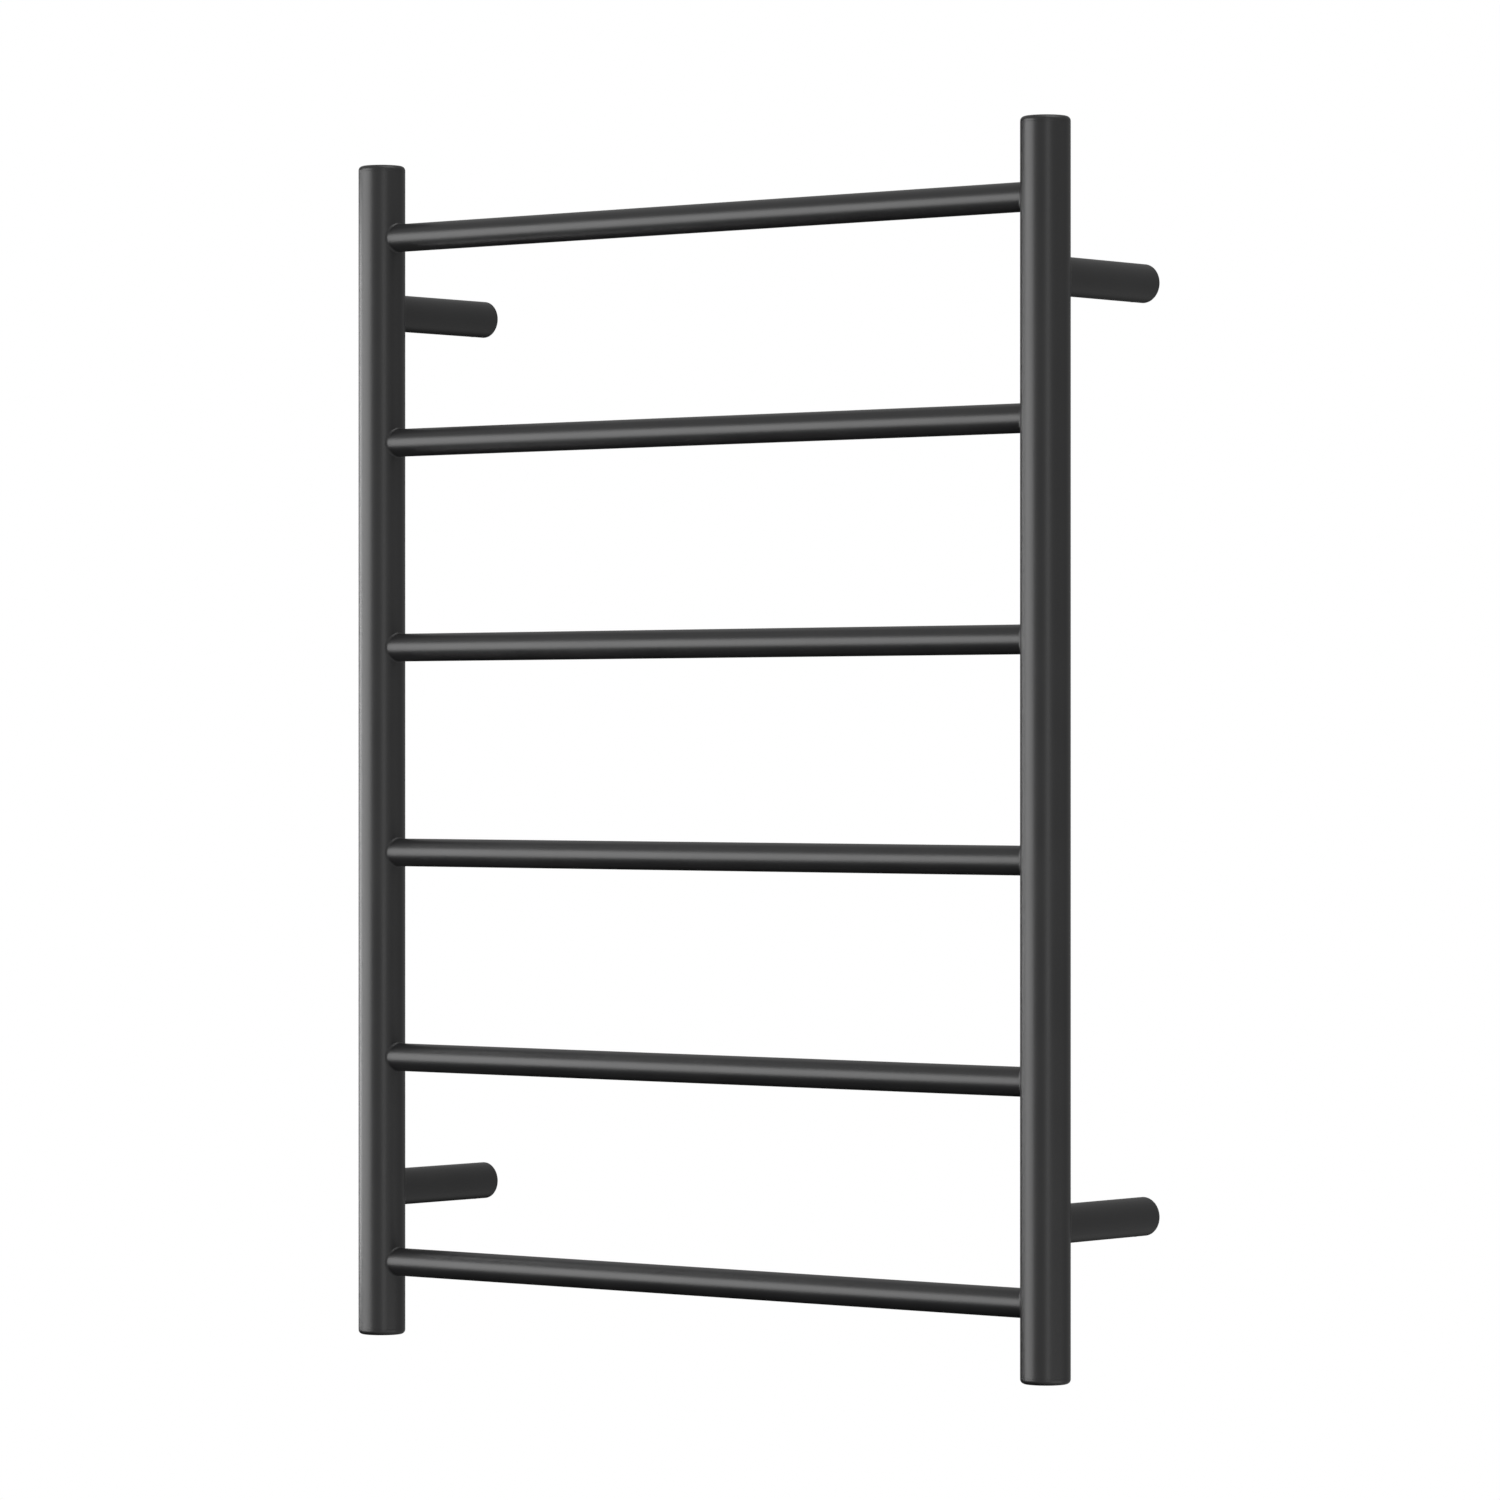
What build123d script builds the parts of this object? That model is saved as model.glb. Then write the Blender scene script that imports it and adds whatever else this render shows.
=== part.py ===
from build123d import *
import os
from math import sqrt

# Wall-hung electric towel warmer: a welded ladder of round steel tube, held off the wall by
# four arms that slide over wall bosses and are locked by grub screws. A silicone heating cable
# runs through every bar, and its leads end at a terminal block inside the wired arm.
#
# Millimetres, +Z up, +X along the bars, +Y into the wall. The origin is the centre of the four
# wall-screw holes, on the wall's surface, so the whole rack lies at negative Y.

# ---- Ladder ----
HEIGHT = 800.0                # over the end caps
OVERALL_WIDTH = 600.0         # over the posts
POST_RADIUS = 16.0
POST_WALL = 1.5
BAR_COUNT = 6
BAR_PITCH = 140.0
BAR_RADIUS = 9.5
BAR_WALL = 1.0
FIT_GAP = 0.05                # radial gap of a part that is pushed into its hole
BAR_END_MARGIN = 0.35         # how far a bar's end stands inside the post's bore at its sides
WELD_LEG = 1.0                # along each of the two tubes that a bead joins

# ---- End caps ----
CAP_THICKNESS = 4.0
CAP_EDGE_RADIUS = 3.0
CAP_SPIGOT_LENGTH = 4.0

# ---- Stand-off arms ----
WALL_TO_POST = 106.0          # wall surface to the posts' axes
ARM_RADIUS = 12.5
ARM_WALL = 2.5
ARM_HEIGHT = 300.0            # arms' axes above and below the middle of the rack
ARM_END_GAP = 0.3             # from an arm's end to the wall
COPE_GAP = 0.02               # between an arm's coped end and the post

# ---- Wall bosses ----
BOSS_RADIUS = 9.9
BOSS_LENGTH = 24.0
BOSS_CHAMFER = 0.8
BOSS_FLAT = 8.4               # from the boss's axis to the flat that a grub screw bears on
SCREW_OFFSET = 4.0            # wall-screw hole from the boss's axis, away from the rack's middle
SCREW_HOLE_RADIUS = 2.25
COUNTERSINK_RADIUS = 4.0
WIRE_OFFSET = 5.1             # supply hole from the wired boss's axis, towards the rack's middle
WIRE_HOLE_RADIUS = 4.1

# ---- Grub screws, M5 x 4 ----
GRUB_RADIUS = 2.45
GRUB_HOLE_RADIUS = 2.5
GRUB_LENGTH = 4.0
GRUB_TIP_GAP = 0.05
GRUB_FROM_WALL = 12.0
GRUB_SOCKET_FLATS = 2.5
GRUB_SOCKET_DEPTH = 2.0
GRUB_CUP_DEPTH = 0.6

# ---- Supply grommet ----
GROMMET_BORE_RADIUS = 3.3
GROMMET_LIP_RADIUS = 4.6
GROMMET_LIP = 1.0
GROMMET_RECESS = 0.5

# ---- Heating cable ----
CABLE_RADIUS = 2.0
CABLE_TURN_RADIUS = 16.0
CABLE_LAST_TURN_RADIUS = 12.0  # out of the top bar into the return run
CABLE_FLOOR_GAP = 0.05        # between the cable and the bottom of a bar's bore
TURN_OFFSET = 6.0             # the cable's upright runs, outwards from a post's axis
RETURN_OFFSET = 8.0           # the return run, forwards from the post's axis
RETURN_SHIFT_DROP = 55.0      # height over which the return run moves to its offset
RETURN_SHIFT_RADIUS = 40.0

# ---- Leads and what is on them ----
LEAD_RADIUS = 1.1
LEAD_TURN_RADIUS = 10.0
LEAD_PITCH = 6.0              # between neighbouring poles of the terminal block
LEAD_HOLE_RADIUS = 9.0        # opening in the wired post behind its lower arm
JOINT_RADIUS = 3.0
JOINT_LENGTH = 18.0
JOINT_CHAMFER = 0.8
JOINT_FROM_LEADS = 12.0       # from the leads' height to the first piece on an upright run
LIMITER_RADIUS = 3.5
LIMITER_CAN_LENGTH = 14.0
LIMITER_CRIMP_RADIUS = 2.2
LIMITER_CRIMP_LENGTH = 4.0

# ---- Terminal block ----
BLOCK_WIDTH = 17.0
BLOCK_HEIGHT = 9.6
BLOCK_LENGTH = 16.0
BLOCK_FROM_WALL = 44.0        # wall to the block's nearer face
CLAMP_RADIUS = 1.9
CLAMP_BORE_RADIUS = 1.2
CLAMP_LENGTH = 14.0
CLAMP_SCREW_RADIUS = 1.15
CLAMP_SCREW_HOLE_RADIUS = 1.2
CLAMP_SCREW_LENGTH = 2.6
CLAMP_SCREW_PITCH = 7.0
CLAMP_ACCESS_RADIUS = 1.7
CLAMP_SLOT = 0.5
LEAD_IN_CLAMP = 6.0           # length of lead inside the block's face

# ---- Earth connection on the wired post's lower cap, M4 ----
EARTH_TURN_RADIUS = 6.0
EARTH_LEAD_OFFSET = 9.0       # the earth lead's upright run, backwards from the post's axis
STUD_RADIUS = 2.0
STUD_LENGTH = 8.0
RING_RADIUS = 4.0
RING_HOLE_RADIUS = 2.1
TAG_THICKNESS = 0.8
TAG_TONGUE_WIDTH = 3.4
BARREL_RADIUS = 1.9
BARREL_BORE_RADIUS = 1.15
BARREL_LENGTH = 7.0
LEAD_IN_BARREL = 5.0
WASHER_THICKNESS = 0.6
WASHER_TEETH = 10
WASHER_NOTCH_LENGTH = 1.2
WASHER_NOTCH_WIDTH = 0.8
NUT_FLATS = 7.0
NUT_THICKNESS = 3.2

# ---- Worked out from the above ----
POST_X = OVERALL_WIDTH / 2 - POST_RADIUS
POST_Y = -WALL_TO_POST
POST_BORE = POST_RADIUS - POST_WALL
BAR_BORE = BAR_RADIUS - BAR_WALL
ARM_BORE = ARM_RADIUS - ARM_WALL
TUBE_END = HEIGHT / 2 - CAP_THICKNESS
BAR_HALF_LENGTH = POST_X - sqrt(POST_BORE**2 - BAR_RADIUS**2) + BAR_END_MARGIN
BAR_LEVELS = [BAR_PITCH * (i - (BAR_COUNT - 1) / 2) for i in range(BAR_COUNT)]
SIDES = {"left": -1, "right": 1}
ENDS = {"top": 1, "bottom": -1}
WIRED = ("bottom", "right")
WIRED_X = POST_X
LEAD_Z = -ARM_HEIGHT
TURN_X = POST_X + TURN_OFFSET
RETURN_X = POST_X - LEAD_PITCH
RETURN_Y = POST_Y - RETURN_OFFSET
BLOCK_FRONT = -BLOCK_FROM_WALL - BLOCK_LENGTH
LEAD_END_Y = BLOCK_FRONT + LEAD_IN_CLAMP
LIMITER_LENGTH = LIMITER_CAN_LENGTH + 2 * LIMITER_CRIMP_LENGTH
LIVE_JOINT_Z = LEAD_Z + JOINT_FROM_LEADS + LIMITER_LENGTH
NEUTRAL_JOINT_Z = LEAD_Z - JOINT_FROM_LEADS - JOINT_LENGTH
CAP_INNER_FACE = -TUBE_END + CAP_SPIGOT_LENGTH
EARTH_Y = POST_Y + EARTH_LEAD_OFFSET
ON_BASE = (Align.CENTER, Align.CENTER, Align.MIN)


# ---- Shared shapes ----
def rod(start, end, radius):
    """A solid cylinder from one point to another."""
    axis = Vector(*end) - Vector(*start)
    return Plane(origin=start, z_dir=axis) * Cylinder(radius, axis.length, align=ON_BASE)


def tube(start, end, outer, inner):
    return rod(start, end, outer) - rod(start, end, inner)


def cone(start, end, start_radius, end_radius):
    axis = Vector(*end) - Vector(*start)
    return Plane(origin=start, z_dir=axis) * Cone(
        start_radius, end_radius, axis.length, align=ON_BASE
    )


def hexagon_bar(centre, across_flats, height):
    """An upright hexagonal prism whose base is centred on a point."""
    outline = RegularPolygon(across_flats / 2, 6, major_radius=False)
    return Pos(*centre) * extrude(outline, height)


def round_cable(points, turn_radii, radius):
    """Straight runs joined by tangent arcs, swept with a round section."""
    path = FilletPolyline(*points, radius=turn_radii)
    return sweep((path ^ 0) * Circle(radius), path=path)


def post_rod(x, radius):
    return rod((x, POST_Y, -TUBE_END), (x, POST_Y, TUBE_END), radius)


def weld_bead(post, stub):
    """The ring of weld where a tube leaves a post: the seam's chamfer, less both tubes."""
    joined = post + stub
    seam = [e for e in joined.edges() if e.geom_type not in (GeomType.LINE, GeomType.CIRCLE)]
    return chamfer(seam, WELD_LEG) - post - stub


# ---- Ladder ----
def post(side):
    """An upright tube with a hole for each bar, and on the wired side one for the leads."""
    x = side * POST_X
    shell = post_rod(x, POST_RADIUS) - post_rod(x, POST_BORE)
    inward = x - side * 2 * POST_RADIUS
    for z in BAR_LEVELS:
        shell -= rod((x, POST_Y, z), (inward, POST_Y, z), BAR_RADIUS + FIT_GAP)
    if x == WIRED_X:
        behind = POST_Y + 2 * POST_RADIUS
        shell -= rod((x, POST_Y, LEAD_Z), (x, behind, LEAD_Z), LEAD_HOLE_RADIUS)
    return shell


def bar(z):
    left = (-BAR_HALF_LENGTH, POST_Y, z)
    right = (BAR_HALF_LENGTH, POST_Y, z)
    return tube(left, right, BAR_RADIUS, BAR_BORE)


def end_cap(side, end):
    """A disc flush with the post's surface, on a spigot that goes into its bore."""
    x = side * POST_X
    outer = (x, POST_Y, end * HEIGHT / 2)
    seat = (x, POST_Y, end * TUBE_END)
    inner = (x, POST_Y, end * (TUBE_END - CAP_SPIGOT_LENGTH))
    disc = rod(seat, outer, POST_RADIUS)
    rims = disc.edges().filter_by(GeomType.CIRCLE).sort_by(Axis.Z)
    disc = fillet(rims[-1] if end > 0 else rims[0], CAP_EDGE_RADIUS)
    return disc + rod(inner, seat, POST_BORE - FIT_GAP)


def bar_weld(side, z):
    """The bead round a bar's end."""
    x = side * POST_X
    stub = rod((x, POST_Y, z), (x - side * 3 * POST_RADIUS, POST_Y, z), BAR_RADIUS)
    around = rod((x, POST_Y, z - BAR_PITCH / 3), (x, POST_Y, z + BAR_PITCH / 3), POST_RADIUS)
    return weld_bead(around, stub)


# ---- Stand-off arms ----
def arm_axis(side, end):
    return side * POST_X, end * ARM_HEIGHT


def arm(side, end):
    """A tube coped to the post, with a threaded hole underneath near the wall."""
    x, z = arm_axis(side, end)
    body = tube((x, POST_Y, z), (x, -ARM_END_GAP, z), ARM_RADIUS, ARM_BORE)
    body -= post_rod(x, POST_RADIUS + COPE_GAP)
    grub_centre = (x, -GRUB_FROM_WALL, z)
    return body - rod(grub_centre, (x, -GRUB_FROM_WALL, z - 2 * ARM_RADIUS), GRUB_HOLE_RADIUS)


def arm_weld(side, end):
    """The bead round an arm's end at the post."""
    x, z = arm_axis(side, end)
    stub = rod((x, POST_Y, z), (x, POST_Y + 3 * POST_RADIUS, z), ARM_RADIUS)
    around = rod((x, POST_Y, z - BAR_PITCH / 3), (x, POST_Y, z + BAR_PITCH / 3), POST_RADIUS)
    return weld_bead(around, stub)


def grub_screw(side, end):
    """A cup-point screw with a hexagon socket that faces down, tip against the boss's flat."""
    x, z = arm_axis(side, end)
    tip = z - BOSS_FLAT - GRUB_TIP_GAP
    base = (x, -GRUB_FROM_WALL, tip - GRUB_LENGTH)
    point = (x, -GRUB_FROM_WALL, tip)
    cup_bottom = (x, -GRUB_FROM_WALL, tip - GRUB_CUP_DEPTH)
    screw = rod(base, point, GRUB_RADIUS)
    screw -= hexagon_bar(base, GRUB_SOCKET_FLATS, GRUB_SOCKET_DEPTH)
    return screw - cone(point, cup_bottom, 2 * GRUB_CUP_DEPTH, 0)


# ---- Wall fixings ----
def wall_boss(side, end, wired):
    """A round plug with an off-centre countersunk screw hole and a flat underneath."""
    x, z = arm_axis(side, end)
    front, screw_z = -BOSS_LENGTH, z + end * SCREW_OFFSET
    body = rod((x, front, z), (x, 0, z), BOSS_RADIUS)
    body = chamfer(body.edges().filter_by(GeomType.CIRCLE).sort_by(Axis.Y)[0], BOSS_CHAMFER)
    flat_top = (Align.CENTER, Align.CENTER, Align.MAX)
    body -= Pos(x, front / 2, z - BOSS_FLAT) * Box(
        2 * BOSS_RADIUS, BOSS_LENGTH, BOSS_RADIUS, align=flat_top
    )
    sink = front + COUNTERSINK_RADIUS - SCREW_HOLE_RADIUS
    body -= rod((x, front, screw_z), (x, 0, screw_z), SCREW_HOLE_RADIUS)
    body -= cone((x, front, screw_z), (x, sink, screw_z), COUNTERSINK_RADIUS, SCREW_HOLE_RADIUS)
    if wired:
        wire_z = z - end * WIRE_OFFSET
        body -= rod((x, front, wire_z), (x, 0, wire_z), WIRE_HOLE_RADIUS)
    return body


def supply_grommet():
    """The lipped rubber sleeve that lines the wired boss's supply hole."""
    z = LEAD_Z + WIRE_OFFSET
    lip_front, lip_back = -BOSS_LENGTH - GROMMET_LIP, -BOSS_LENGTH
    outer = WIRE_HOLE_RADIUS - FIT_GAP
    sleeve = rod((WIRED_X, lip_back, z), (WIRED_X, -GROMMET_RECESS, z), outer)
    sleeve += rod((WIRED_X, lip_front, z), (WIRED_X, lip_back, z), GROMMET_LIP_RADIUS)
    return sleeve - rod((WIRED_X, lip_front, z), (WIRED_X, 0, z), GROMMET_BORE_RADIUS)


# ---- Heating cable and leads ----
def heating_cable():
    """One cable up through every bar in turn, then down the wired post to its second end.

    It lies on the bottom of each bar's bore and turns inside the posts.
    """
    drop = BAR_BORE - CABLE_RADIUS - CABLE_FLOOR_GAP
    points = [(TURN_X, POST_Y, NEUTRAL_JOINT_Z)]
    side = 1
    for level in BAR_LEVELS:
        z = level - drop
        points += [(side * TURN_X, POST_Y, z), (-side * TURN_X, POST_Y, z)]
        side = -side
    turn_radii = [CABLE_TURN_RADIUS] * (len(points) - 2)
    turn_radii += [CABLE_LAST_TURN_RADIUS, RETURN_SHIFT_RADIUS]
    shifted_z = BAR_LEVELS[-1] - drop - RETURN_SHIFT_DROP
    points += [(RETURN_X, RETURN_Y, shifted_z), (RETURN_X, RETURN_Y, LIVE_JOINT_Z + JOINT_LENGTH)]
    return round_cable(points, turn_radii, CABLE_RADIUS)


def cold_joint(x, y, z):
    """A crimped joint between the heating cable and a lead, in its shrink sleeve."""
    sleeve = rod((x, y, z), (x, y, z + JOINT_LENGTH), JOINT_RADIUS)
    return chamfer(sleeve.edges().filter_by(GeomType.CIRCLE), JOINT_CHAMFER)


def thermal_limiter():
    """The over-heat cut-out, in line with the live lead: a can between two crimps."""
    base = LEAD_Z + JOINT_FROM_LEADS
    can_base, can_top = base + LIMITER_CRIMP_LENGTH, base + LIMITER_CRIMP_LENGTH + LIMITER_CAN_LENGTH
    can = rod((RETURN_X, RETURN_Y, can_base), (RETURN_X, RETURN_Y, can_top), LIMITER_RADIUS)
    can = fillet(can.edges().filter_by(GeomType.CIRCLE), JOINT_CHAMFER)
    top = (RETURN_X, RETURN_Y, base + LIMITER_LENGTH)
    return can + rod((RETURN_X, RETURN_Y, base), top, LIMITER_CRIMP_RADIUS)


def live_lead():
    points = [
        (RETURN_X, LEAD_END_Y, LEAD_Z),
        (RETURN_X, RETURN_Y, LEAD_Z),
        (RETURN_X, RETURN_Y, LEAD_Z + JOINT_FROM_LEADS),
    ]
    return round_cable(points, [LEAD_TURN_RADIUS], LEAD_RADIUS)


def neutral_lead():
    points = [
        (TURN_X, LEAD_END_Y, LEAD_Z),
        (TURN_X, POST_Y, LEAD_Z),
        (TURN_X, POST_Y, LEAD_Z - JOINT_FROM_LEADS),
    ]
    return round_cable(points, [LEAD_TURN_RADIUS], LEAD_RADIUS)


def earth_lead():
    barrel_top = CAP_INNER_FACE + TAG_THICKNESS + BARREL_LENGTH
    points = [
        (WIRED_X, LEAD_END_Y, LEAD_Z),
        (WIRED_X, EARTH_Y, LEAD_Z),
        (WIRED_X, EARTH_Y, barrel_top - LEAD_IN_BARREL),
    ]
    return round_cable(points, [EARTH_TURN_RADIUS], LEAD_RADIUS)


# ---- Terminal block ----
def pole_positions():
    return [WIRED_X + LEAD_PITCH * i for i in (-1, 0, 1)]


def clamp_screw_positions():
    middle = -BLOCK_FROM_WALL - BLOCK_LENGTH / 2
    ys = [middle - CLAMP_SCREW_PITCH / 2, middle + CLAMP_SCREW_PITCH / 2]
    return [(x, y) for x in pole_positions() for y in ys]


def terminal_block():
    """The insulating body, bored for three clamps and open above each clamp screw."""
    middle = -BLOCK_FROM_WALL - BLOCK_LENGTH / 2
    body = Pos(WIRED_X, middle, LEAD_Z) * Box(BLOCK_WIDTH, BLOCK_LENGTH, BLOCK_HEIGHT)
    for x in pole_positions():
        body -= rod((x, BLOCK_FRONT, LEAD_Z), (x, -BLOCK_FROM_WALL, LEAD_Z), CLAMP_RADIUS)
    for x, y in clamp_screw_positions():
        body -= rod((x, y, LEAD_Z), (x, y, LEAD_Z + BLOCK_HEIGHT), CLAMP_ACCESS_RADIUS)
    return body


def terminal_clamps():
    """Three brass sleeves, each with two threaded holes, as separate solids."""
    inset = (BLOCK_LENGTH - CLAMP_LENGTH) / 2
    start, end = BLOCK_FRONT + inset, -BLOCK_FROM_WALL - inset
    radius = CLAMP_RADIUS - FIT_GAP
    clamps = []
    for x in pole_positions():
        clamp = tube((x, start, LEAD_Z), (x, end, LEAD_Z), radius, CLAMP_BORE_RADIUS)
        for screw_x, y in clamp_screw_positions():
            if screw_x == x:
                top = (x, y, LEAD_Z + 2 * CLAMP_RADIUS)
                clamp -= rod((x, y, LEAD_Z), top, CLAMP_SCREW_HOLE_RADIUS)
        clamps.append(clamp)
    return Compound(children=clamps)


def terminal_screws():
    """Six slotted clamp screws, as separate solids."""
    screws = []
    foot = LEAD_Z + LEAD_RADIUS + FIT_GAP
    for x, y in clamp_screw_positions():
        head = foot + CLAMP_SCREW_LENGTH
        screw = rod((x, y, foot), (x, y, head), CLAMP_SCREW_RADIUS)
        slot = Box(3 * CLAMP_SCREW_RADIUS, CLAMP_SLOT, 2 * CLAMP_SLOT)
        screws.append(screw - Pos(x, y, head) * slot)
    return Compound(children=screws)


# ---- Earth connection ----
def earth_stud():
    foot = (WIRED_X, POST_Y, CAP_INNER_FACE)
    return rod(foot, (WIRED_X, POST_Y, CAP_INNER_FACE + STUD_LENGTH), STUD_RADIUS)


def earth_tag():
    """A flat ring on the stud, with a tongue that carries an upright crimp barrel."""
    low, high = CAP_INNER_FACE, CAP_INNER_FACE + TAG_THICKNESS
    ring = rod((WIRED_X, POST_Y, low), (WIRED_X, POST_Y, high), RING_RADIUS)
    tongue = Pos(WIRED_X, (POST_Y + EARTH_Y) / 2, (low + high) / 2) * Box(
        TAG_TONGUE_WIDTH, EARTH_LEAD_OFFSET, TAG_THICKNESS
    )
    heel = rod((WIRED_X, EARTH_Y, low), (WIRED_X, EARTH_Y, high), BARREL_RADIUS)
    flat = ring + tongue + heel
    flat -= rod((WIRED_X, POST_Y, low), (WIRED_X, POST_Y, high), RING_HOLE_RADIUS)
    top = (WIRED_X, EARTH_Y, high + BARREL_LENGTH)
    return flat + tube((WIRED_X, EARTH_Y, high), top, BARREL_RADIUS, BARREL_BORE_RADIUS)


def earth_washer():
    """A toothed lock washer."""
    low = CAP_INNER_FACE + TAG_THICKNESS
    washer = tube(
        (WIRED_X, POST_Y, low), (WIRED_X, POST_Y, low + WASHER_THICKNESS), RING_RADIUS, RING_HOLE_RADIUS
    )
    notch = Pos(RING_RADIUS, 0, 0) * Box(
        WASHER_NOTCH_LENGTH, WASHER_NOTCH_WIDTH, 2 * WASHER_THICKNESS
    )
    for i in range(WASHER_TEETH):
        at_tooth = Pos(WIRED_X, POST_Y, low + WASHER_THICKNESS / 2) * Rot(0, 0, i * 360 / WASHER_TEETH)
        washer -= at_tooth * notch
    return washer


def earth_nut():
    low = CAP_INNER_FACE + TAG_THICKNESS + WASHER_THICKNESS
    nut = hexagon_bar((WIRED_X, POST_Y, low), NUT_FLATS, NUT_THICKNESS)
    return nut - rod((WIRED_X, POST_Y, low), (WIRED_X, POST_Y, low + NUT_THICKNESS), RING_HOLE_RADIUS)


def build():
    """Every sub-part by node name."""
    nodes = {
        "supply_grommet": supply_grommet(),
        "heating_cable": heating_cable(),
        "live_cold_joint": cold_joint(RETURN_X, RETURN_Y, LIVE_JOINT_Z),
        "neutral_cold_joint": cold_joint(TURN_X, POST_Y, NEUTRAL_JOINT_Z),
        "thermal_limiter": thermal_limiter(),
        "live_lead": live_lead(),
        "neutral_lead": neutral_lead(),
        "earth_lead": earth_lead(),
        "terminal_block": terminal_block(),
        "terminal_clamps": terminal_clamps(),
        "terminal_screws": terminal_screws(),
        "earth_stud": earth_stud(),
        "earth_tag": earth_tag(),
        "earth_washer": earth_washer(),
        "earth_nut": earth_nut(),
    }
    for number, z in enumerate(reversed(BAR_LEVELS), start=1):
        nodes[f"bar_{number}"] = bar(z)
        for side_name, side in SIDES.items():
            nodes[f"bar_{number}_weld_{side_name}"] = bar_weld(side, z)
    for side_name, side in SIDES.items():
        nodes[f"post_{side_name}"] = post(side)
        for end_name, end in ENDS.items():
            place = f"{end_name}_{side_name}"
            nodes[f"end_cap_{place}"] = end_cap(side, end)
            nodes[f"arm_{place}"] = arm(side, end)
            nodes[f"arm_weld_{place}"] = arm_weld(side, end)
            nodes[f"grub_screw_{place}"] = grub_screw(side, end)
            nodes[f"wall_boss_{place}"] = wall_boss(side, end, (end_name, side_name) == WIRED)
    return nodes


os.makedirs("parts", exist_ok=True)
for name, shape in build().items():
    export_step(shape, f"parts/{name}.step")
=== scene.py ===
from math import cos, pi, radians, sin, sqrt, tan, tau

import bmesh
import bpy
from mathutils import Matrix, Vector


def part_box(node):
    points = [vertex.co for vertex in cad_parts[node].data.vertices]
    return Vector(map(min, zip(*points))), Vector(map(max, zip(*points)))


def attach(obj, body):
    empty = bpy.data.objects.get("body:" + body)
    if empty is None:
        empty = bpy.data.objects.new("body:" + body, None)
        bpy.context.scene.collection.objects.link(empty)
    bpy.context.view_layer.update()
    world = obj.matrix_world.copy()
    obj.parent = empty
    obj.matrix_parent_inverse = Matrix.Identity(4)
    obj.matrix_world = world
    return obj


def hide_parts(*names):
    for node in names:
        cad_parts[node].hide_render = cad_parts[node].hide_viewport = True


# The looks of a wall-hung towel warmer: six bars between two posts, four stand-off arms, and the
# wall bosses and grub screws that hold them. Metres, in the CAD model's frame: +X along the bars,
# +Y into the wall, +Z up. Pieces take their places from the CAD nodes they stand for.

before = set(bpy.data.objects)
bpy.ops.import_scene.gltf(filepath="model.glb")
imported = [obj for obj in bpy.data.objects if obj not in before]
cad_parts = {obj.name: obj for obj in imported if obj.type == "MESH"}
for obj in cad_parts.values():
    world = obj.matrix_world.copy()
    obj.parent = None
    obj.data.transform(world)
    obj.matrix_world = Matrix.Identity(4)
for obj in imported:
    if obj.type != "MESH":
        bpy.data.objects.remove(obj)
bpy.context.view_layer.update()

MM = 0.001
UP = (0, 0, 1)
INTO_WALL = (0, 1, 0)
SIDES = {"left": -1, "right": 1}
ENDS = {"top": 1, "bottom": -1}
CORNERS = [(end, side) for end in ENDS for side in SIDES]
WIRED = ("bottom", "right")   # the corner where the supply comes in
BAR_COUNT = 6
BAR_NAMES = [f"bar_{number}" for number in range(1, BAR_COUNT + 1)]

# ---- Fineness of the meshes ----
ROUND_SEGMENTS = 128          # round a tube, a cap or a boss
FITTING_SEGMENTS = 96         # round the grommet and its hole, the limiter, the nut and the floor
HOLE_SEGMENTS = 64            # round a small hole or a shrink sleeve
CLAMP_SEGMENTS = 48           # round a clamp screw, its hole and its well
THREAD_SEGMENTS = 72          # round any other thread
SEGMENTS_PER_ROW = 6          # a thread has a sixth as many rows in each pitch as it has segments
HEXAGON = 6                   # segments
FAN = 4                       # a flat fan has more triangles than this
ARC_STEPS = 5                 # in a rounded corner
CAP_ARC_STEPS = 8
BLOCK_ARC_STEPS = 4
SAME_POINT = 1e-7             # vertices closer than this are one
SLIVER = 0.001 * MM           # anything smaller that a cut leaves is merged away
FLAT = 0.99999                # cosine between the normals of faces in one plane
OVERSHOOT = 1.0 * MM          # how far a cutter stands out of what it cuts
SHARP_ANGLE = 30              # degrees; shading breaks at sharper edges
BEAD_SHARP_ANGLE = 50
SLEEVE_SHARP_ANGLE = 40
NORMAL_WEIGHT = 100           # the largest faces decide the normals

# ---- Tubes ----
POST_WALL = 1.5 * MM
BAR_WALL = 1.0 * MM
ARM_WALL = 2.5 * MM
FIT_GAP = 0.05 * MM           # round anything that sits in a hole
HAIRLINE = 0.1 * MM           # edge radius of a tube's rim, and where a cap meets its post
LEAD_HOLE_RADIUS = 9.0 * MM   # from the wired post into its arm
COPE_GAP = 0.02 * MM          # between an arm's end and its post
ARM_EDGE_RADIUS = 0.5 * MM
CAP_EDGE_RADIUS = 3.0 * MM
SPIGOT_LENGTH = 4.0 * MM
SPIGOT_EDGE_RADIUS = 0.3 * MM

# ---- Weld beads ----
WELD_LEG = 1.0 * MM           # along each tube
WELD_HOLLOW = 0.12            # how far the bead's face dips, as a share of its leg
WELD_SEGMENTS = 192
WELD_PROFILE_STEPS = 6
WELD_RIPPLE = 0.05            # share of the leg
WELD_FINE_RIPPLES = 34        # round a tube
WELD_SLOW_RIPPLES = 7
WELD_FINE_SHARE = 0.6         # of the ripple's height
BEAD_SINK = 0.03 * MM         # how far the bead's back goes into the tubes

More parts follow.
